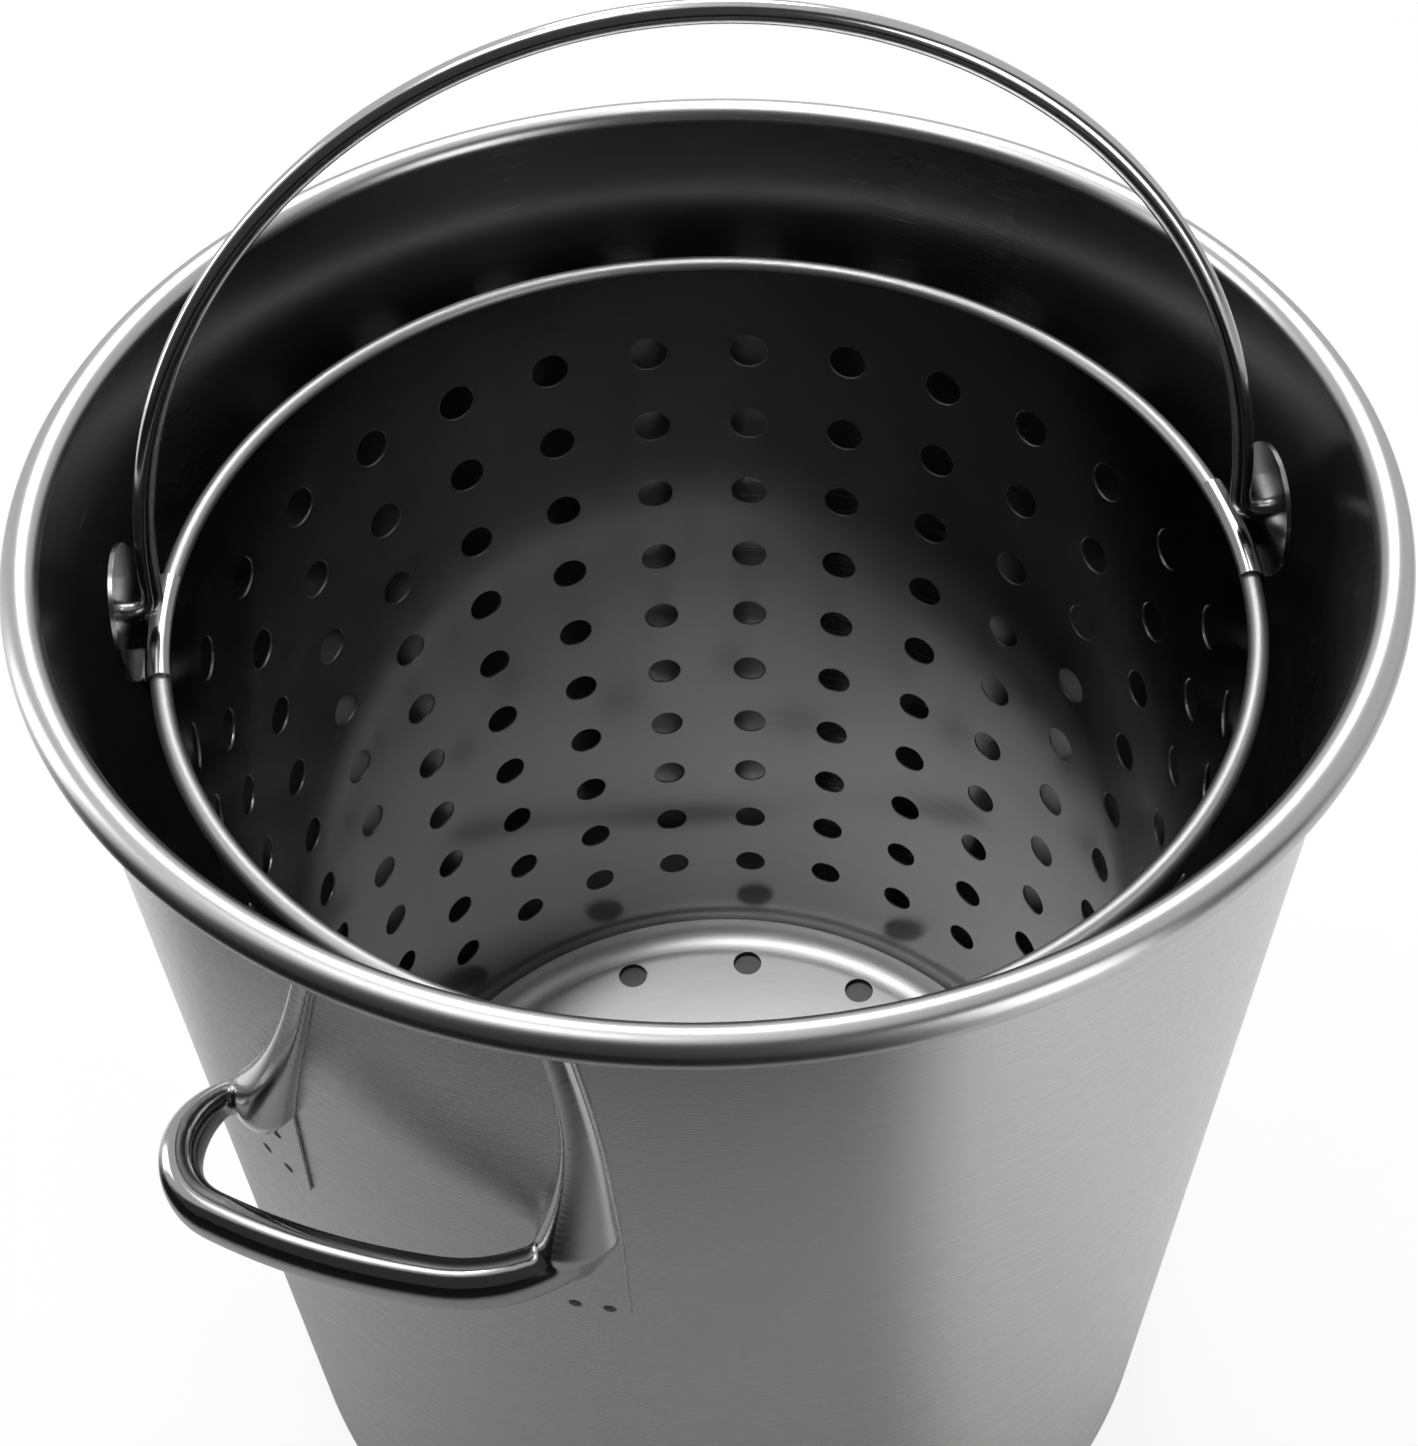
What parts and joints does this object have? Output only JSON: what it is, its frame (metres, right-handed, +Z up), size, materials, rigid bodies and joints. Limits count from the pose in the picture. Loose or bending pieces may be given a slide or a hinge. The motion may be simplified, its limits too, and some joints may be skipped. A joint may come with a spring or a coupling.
{
  "type": "stockpot",
  "caption": "Tall stockpot with a rolled rim, side loop handles and a perforated lift-out basket with a swinging bail handle",
  "frame": {"origin": "On the ground, at the middle of the pot's base", "axes": "+Z up, +X towards the near handle, +Y across the pot"},
  "size_m": [0.474, 0.422, 0.6196],
  "materials": {
    "pot_steel": "fine round-the-wall brushing",
    "handle_steel": "polished",
    "pad_steel": "satin",
    "basket_steel": "satin",
    "ear_steel": "satin",
    "rod_steel": "polished"
  },
  "bodies": {
    "pot": {"pot_shell": "pot_steel", "near_handle": "handle_steel", "far_handle": "handle_steel", "near_pad_left": "pad_steel", "near_pad_right": "pad_steel", "far_pad_left": "pad_steel", "far_pad_right": "pad_steel", "basket_side": "basket_steel", "basket_bottom": "basket_steel", "ear_left": "ear_steel", "ear_right": "ear_steel"},
    "bail": {"bail": "rod_steel"}
  },
  "joints": [
    {"name": "bail_swing", "type": "hinge", "parent": "pot", "child": "bail", "pos_m": [0, 0, 0.444], "axis": [-0.5432, 0.8396, 0], "range_deg": [-82, 100]}
  ]
}
